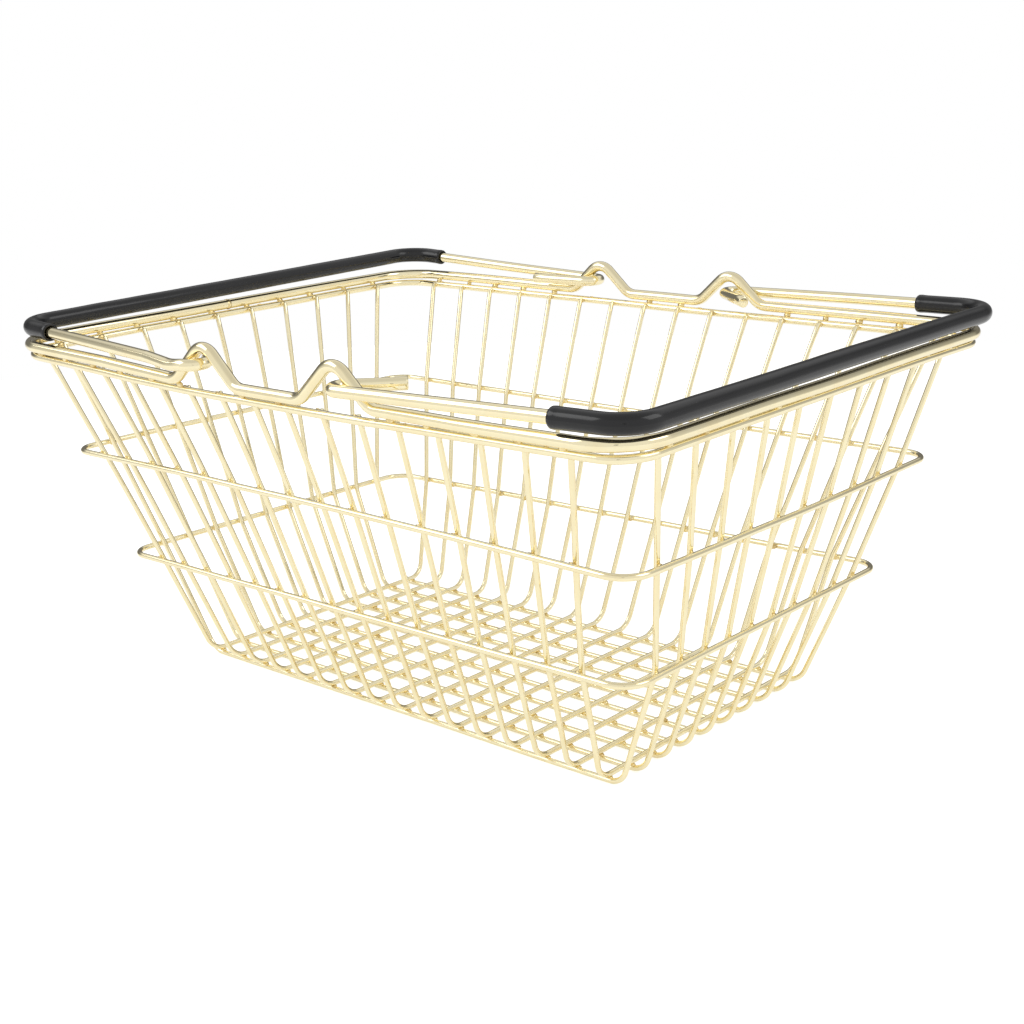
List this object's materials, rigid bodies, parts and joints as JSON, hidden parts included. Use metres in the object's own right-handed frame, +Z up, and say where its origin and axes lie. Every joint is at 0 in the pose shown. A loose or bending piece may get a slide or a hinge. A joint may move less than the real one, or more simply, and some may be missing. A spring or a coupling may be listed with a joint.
{
  "type": "shopping basket",
  "caption": "Tapered rectangular wire shopping basket, pale gold plated, with two fold-down wire handles that hook into humps in its rim and have black vinyl grips.",
  "frame": {"origin": "on the plane of the flat underside of the lowest floor wires, below the middle of the basket's outline", "axes": "+X along the basket's long side from the left handle to the right handle, +Y across it from the front to the back, +Z up"},
  "size_m": [0.4358, 0.326, 0.208],
  "materials": {
    "body_wire": "drawn steel wire, bright pale gold plating",
    "heavy_wire": "drawn steel wire, bright pale gold plating",
    "grip_sleeve": "smooth glossy black soft vinyl tube"
  },
  "bodies": {
    "basket": {"cross_wire_01": "body_wire", "cross_wire_02": "body_wire", "cross_wire_03": "body_wire", "cross_wire_04": "body_wire", "cross_wire_05": "body_wire", "cross_wire_06": "body_wire", "cross_wire_07": "body_wire", "cross_wire_08": "body_wire", "cross_wire_09": "body_wire", "cross_wire_10": "body_wire", "cross_wire_11": "body_wire", "cross_wire_12": "body_wire", "cross_wire_13": "body_wire", "cross_wire_14": "body_wire", "cross_wire_15": "body_wire", "cross_wire_16": "body_wire", "long_wire_01": "body_wire", "long_wire_02": "body_wire", "long_wire_03": "body_wire", "long_wire_04": "body_wire", "long_wire_05": "body_wire", "long_wire_06": "body_wire", "long_wire_07": "body_wire", "long_wire_08": "body_wire", "long_wire_09": "body_wire", "long_wire_10": "body_wire", "lower_hoop": "body_wire", "upper_hoop": "body_wire", "rim_ring": "body_wire", "guard_wire": "heavy_wire"},
    "left_handle": {"left_handle_wire": "heavy_wire", "left_grip_sleeve": "grip_sleeve"},
    "right_handle": {"right_handle_wire": "heavy_wire", "right_grip_sleeve": "grip_sleeve"}
  },
  "joints": [
    {"name": "left_handle_pivot", "type": "hinge", "parent": "basket", "child": "left_handle", "pos_m": [-0.0474, 0, 0.19368], "axis": [0, 1, 0.0081], "range_deg": [0, 102]},
    {"name": "right_handle_pivot", "type": "hinge", "parent": "basket", "child": "right_handle", "pos_m": [0.0481, 0, 0.19267], "axis": [0, -1, -0.0081], "range_deg": [0, 102]}
  ]
}
